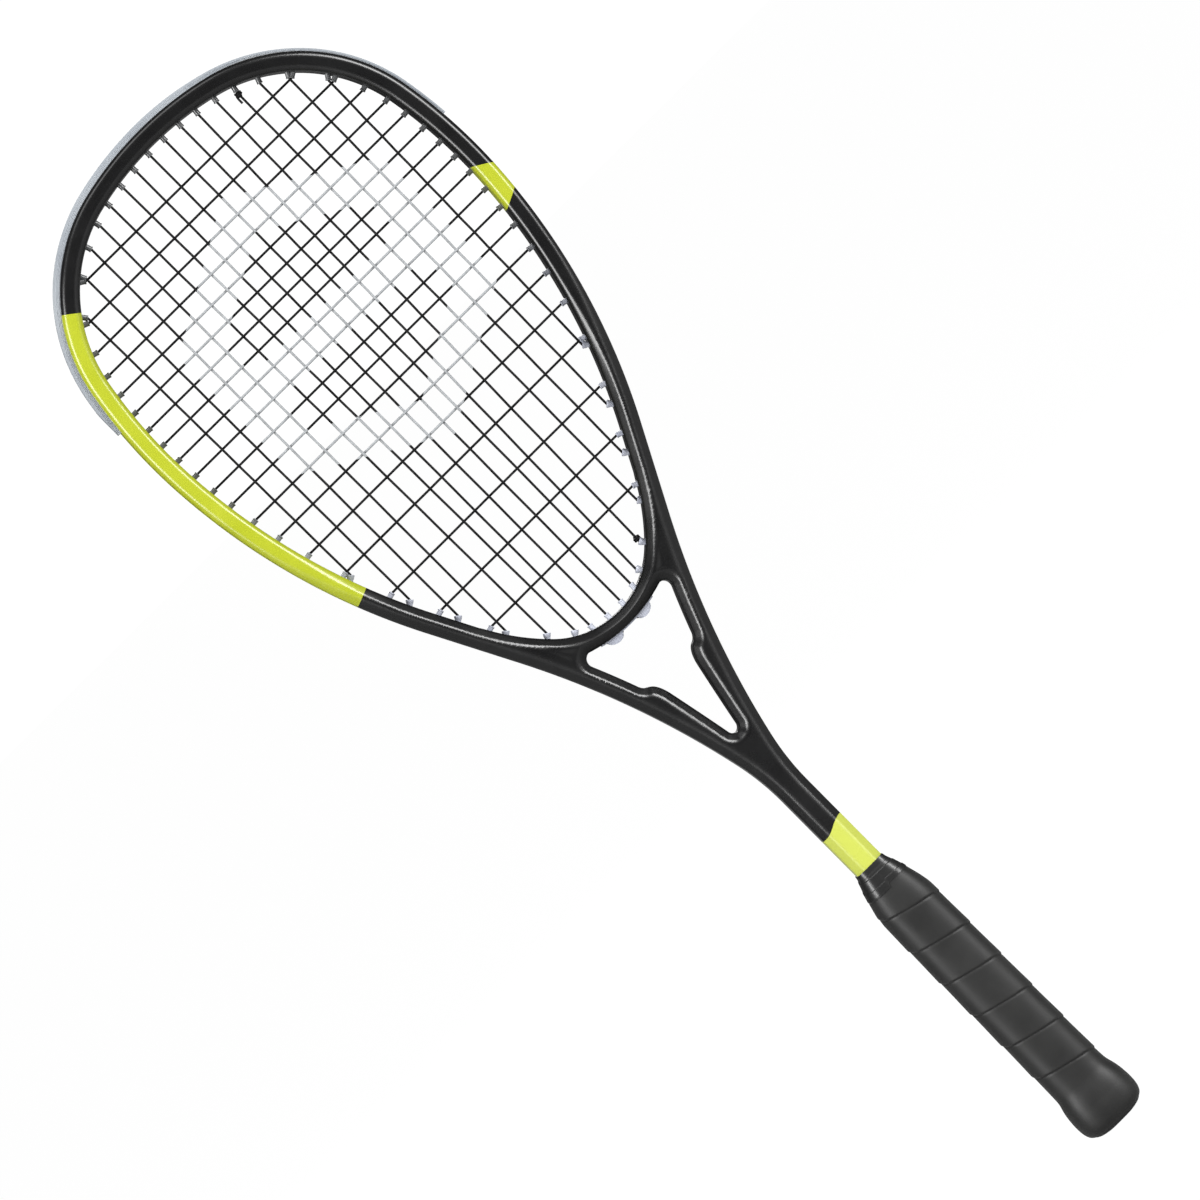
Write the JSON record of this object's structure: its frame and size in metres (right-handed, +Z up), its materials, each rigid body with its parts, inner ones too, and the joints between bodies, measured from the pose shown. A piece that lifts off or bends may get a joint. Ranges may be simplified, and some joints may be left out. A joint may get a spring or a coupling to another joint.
{
  "type": "squash racket",
  "caption": "Squash racket: a teardrop carbon head with an open throat, a woven string bed, a slim shaft and a wrapped octagonal handle with a flared butt",
  "frame": {"origin": "centre of the butt cap's end face", "axes": "+Z up the handle to the head, X across the string bed, Y through it; the stencilled face looks along -Y"},
  "size_m": [0.2252, 0.0322, 0.686],
  "materials": {
    "carbon": "satin black painted carbon with lime sections",
    "handle_foam": "moulded foam",
    "cap_plastic": "moulded black",
    "staple_steel": "bright wire",
    "grip_cushion": "cushioned strip, fine matt grain",
    "tape_film": "glossy film",
    "bumper_plastic": "translucent grey",
    "grommet_plastic": "translucent, faintly blue",
    "string_fibre": "black coated synthetic string"
  },
  "bodies": {
    "root": {"hairpin_tube": "carbon", "throat_bridge": "carbon", "throat_apex": "carbon", "front_pallet": "handle_foam", "back_pallet": "handle_foam", "butt_cap": "cap_plastic", "butt_cap_staples": "staple_steel", "base_grip": "grip_cushion", "finishing_tape": "tape_film", "head_bumper": "bumper_plastic", "left_grommet_strip": "grommet_plastic", "right_grommet_strip": "grommet_plastic", "throat_grommet_strip": "grommet_plastic", "main_strings": "string_fibre", "cross_strings": "string_fibre", "head_string_loops": "string_fibre", "left_string_loops": "string_fibre", "right_string_loops": "string_fibre", "throat_string_loops": "string_fibre", "top_knot": "string_fibre", "throat_knot": "string_fibre"}
  },
  "joints": []
}
